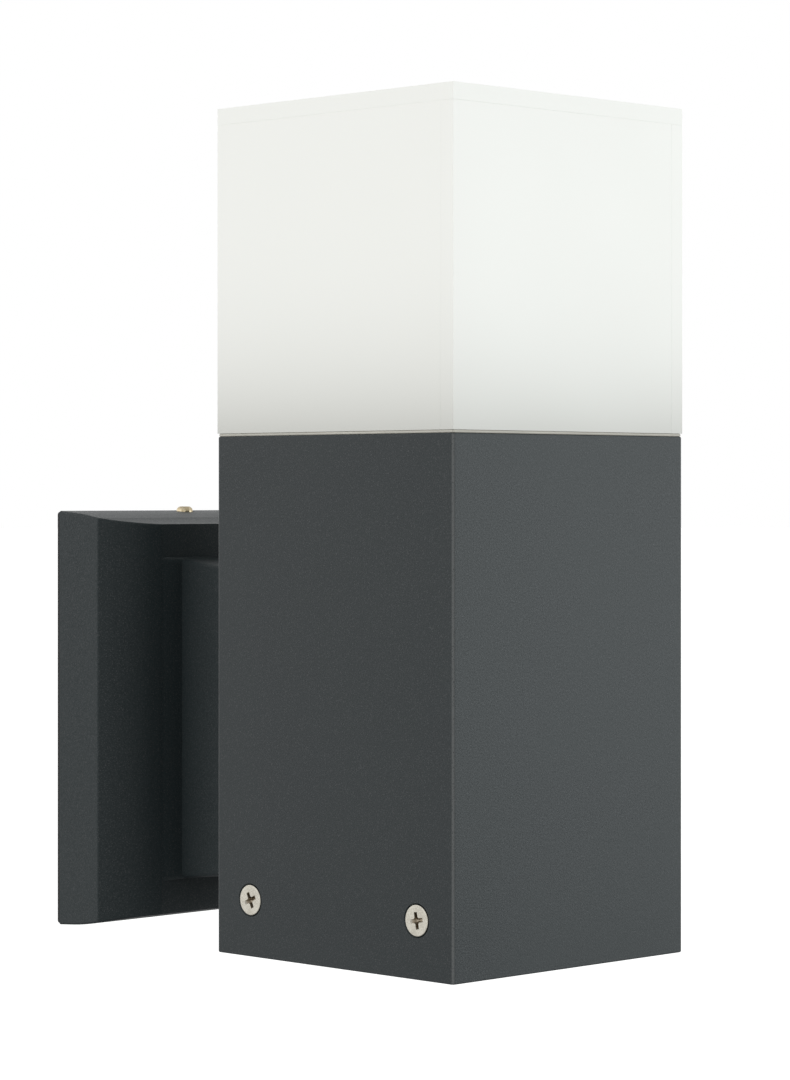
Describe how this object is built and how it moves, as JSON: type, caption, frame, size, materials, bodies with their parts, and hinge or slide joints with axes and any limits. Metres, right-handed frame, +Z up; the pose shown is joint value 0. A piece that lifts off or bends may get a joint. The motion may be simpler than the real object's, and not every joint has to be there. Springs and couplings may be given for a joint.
{
  "type": "outdoor wall lantern",
  "caption": "Square anthracite outdoor wall lantern with an opal box shade that lifts off, a screw-in lamp inside, and a cast arm on a tapered wall box.",
  "frame": {"origin": "centre of the wall strap's back face, which lies on the wall", "axes": "+Z up along the square body, +Y into the wall, so the front face looks along -Y; +X is to the right of someone who faces the lantern"},
  "size_m": [0.1, 0.177, 0.2565],
  "materials": {
    "body_coat": "fine-textured anthracite powder coat",
    "bracket_coat": "anthracite powder coat on a casting",
    "zinc_steel": "zinc plated",
    "nickel_screws": "nickel plated, satin",
    "yellow_zinc_screws": "yellow zinc plated",
    "holder_plastic": "white heat-proof plastic",
    "brass_parts": "bright brass",
    "lamp_metal": "nickel plated cap",
    "lamp_insulation": "black insulation",
    "lamp_plastic": "white moulded",
    "led_board": "white solder resist",
    "lamp_diffuser": "frosted diffuser",
    "opal_acrylic": "opal white acrylic sheet",
    "shade_frame": "white collar",
    "silicone_seal": "cream silicone",
    "black_rubber": "black rubber",
    "brown_lead": "brown insulation",
    "blue_lead": "blue insulation",
    "green_yellow_lead": "green and yellow insulation"
  },
  "bodies": {
    "lantern": {"body_tube": "body_coat", "bottom_tray": "zinc_steel", "side_screw_left_front": "nickel_screws", "side_screw_left_rear": "nickel_screws", "side_screw_right_front": "nickel_screws", "side_screw_right_rear": "nickel_screws", "lamp_bridge": "zinc_steel", "bridge_screw_left": "zinc_steel", "bridge_screw_right": "zinc_steel", "lampholder_body": "holder_plastic", "lampholder_shell": "brass_parts", "centre_contact_spring": "brass_parts", "lampholder_screw_left": "zinc_steel", "lampholder_screw_right": "zinc_steel", "wall_bracket": "bracket_coat", "wall_gasket": "black_rubber", "wall_strap": "zinc_steel", "lock_screw_top": "yellow_zinc_screws", "lock_screw_bottom": "yellow_zinc_screws", "arm_screw_lower": "zinc_steel", "arm_screw_upper": "zinc_steel", "arm_washer_lower": "zinc_steel", "arm_washer_upper": "zinc_steel", "lead_grommet": "black_rubber", "terminal_block": "holder_plastic", "terminal_live": "brass_parts", "terminal_neutral": "brass_parts", "terminal_earth": "brass_parts", "terminal_block_screw": "zinc_steel", "earth_lug": "brass_parts", "earth_screw": "zinc_steel", "lead_live": "brown_lead", "lead_neutral": "blue_lead", "lead_earth": "green_yellow_lead"},
    "shade": {"shade_sheet_front": "opal_acrylic", "shade_sheet_right": "opal_acrylic", "shade_sheet_back": "opal_acrylic", "shade_sheet_left": "opal_acrylic", "shade_sheet_top": "opal_acrylic", "shade_frame": "shade_frame", "shade_seal": "silicone_seal"},
    "lamp": {"lamp_tip_contact": "lamp_metal", "lamp_insulator": "lamp_insulation", "lamp_cap": "lamp_metal", "lamp_housing": "lamp_plastic", "lamp_led_board": "led_board", "lamp_globe": "lamp_diffuser"}
  },
  "joints": [
    {"name": "shade_lift", "type": "slide", "parent": "lantern", "child": "shade", "axis": [0, 0, 1], "range_m": [0, 0.12]},
    {"name": "lamp_turn", "type": "hinge", "parent": "lantern", "child": "lamp", "pos_m": [0, -0.127, 0.0575], "axis": [0, 0, 1], "range_deg": [0, 990]}
  ]
}
